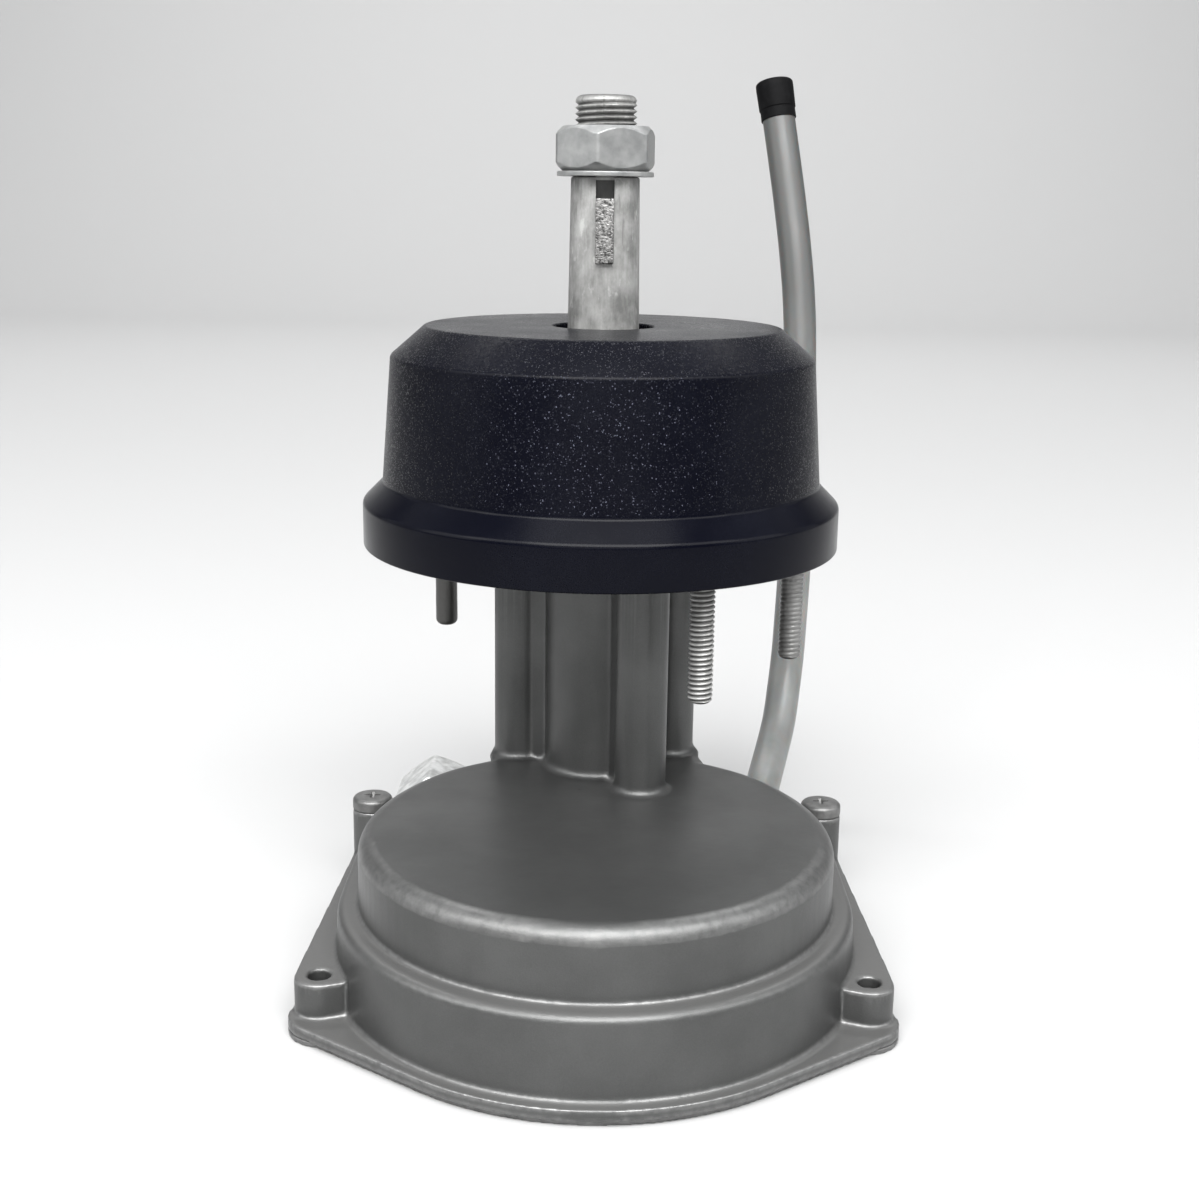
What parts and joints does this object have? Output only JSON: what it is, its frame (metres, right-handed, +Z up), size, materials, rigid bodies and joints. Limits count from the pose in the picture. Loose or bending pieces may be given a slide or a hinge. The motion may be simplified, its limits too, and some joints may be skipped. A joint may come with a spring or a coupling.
{
  "type": "boat steering helm",
  "caption": "Dash-mounted boat steering helm: round cast gear housing, tall neck, black bezel, keyed taper wheel shaft with nut, cable port with nut and a capped spent tube.",
  "frame": {"origin": "on the wheel shaft's axis at the underside of the back cover", "axes": "+Z up the wheel shaft towards the wheel, -Y from the shaft towards the cable drum, +X towards the port with the spent tube"},
  "size_m": [0.1498, 0.2632, 0.2399],
  "materials": {
    "cast_alloy": "satin grey die casting with worn bright edges",
    "cover_alloy": "satin grey die casting",
    "drum_alloy": "machined casting",
    "screw_steel": "zinc plated",
    "bright_zinc": "bright zinc plated steel",
    "ground_steel": "ground steel",
    "spring_steel": "dark spring steel",
    "shaft_steel": "turned stainless steel, streaked with use",
    "key_steel": "rough sawn steel",
    "plate_steel": "zinc plated plate",
    "stud_steel": "plated threaded stud",
    "bronze": "sintered bronze",
    "bezel_black": "textured black plastic with smooth rim",
    "tube_plastic": "milky translucent plastic tube",
    "cap_rubber": "black rubber"
  },
  "bodies": {
    "helm_body": {"main_housing": "cast_alloy", "back_cover": "cover_alloy", "front_cover_screws": "screw_steel", "rear_cover_screws": "bright_zinc", "drum_axle": "ground_steel", "drum_thrust_washer": "ground_steel", "lower_bush": "bronze", "upper_bush": "bronze", "mounting_plate": "plate_steel", "plate_screws": "screw_steel", "dash_studs": "stud_steel", "bezel": "bezel_black", "cable_port_nut": "bright_zinc", "spent_tube": "tube_plastic", "tube_cap": "cap_rubber"},
    "drum": {"cable_drum": "drum_alloy", "drum_bush": "bronze"},
    "shaft": {"wheel_shaft": "shaft_steel", "drive_pinion": "ground_steel", "pinion_ring": "spring_steel", "shaft_wave_washer": "spring_steel", "shaft_retaining_ring": "spring_steel", "wheel_key": "key_steel", "wheel_washer": "bright_zinc", "wheel_nut": "bright_zinc"}
  },
  "joints": [
    {"name": "drum_spin", "type": "hinge", "parent": "helm_body", "child": "drum", "pos_m": [0, -0.0495, 0.02], "axis": [0, 0, 1], "continuous": true},
    {"name": "shaft_spin", "type": "hinge", "parent": "helm_body", "child": "shaft", "pos_m": [0, 0, 0.1], "axis": [0, 0, 1], "continuous": true}
  ],
  "couplings": [
    {"joint": "shaft_spin", "follows": "drum_spin", "ratio": -4.5}
  ]
}
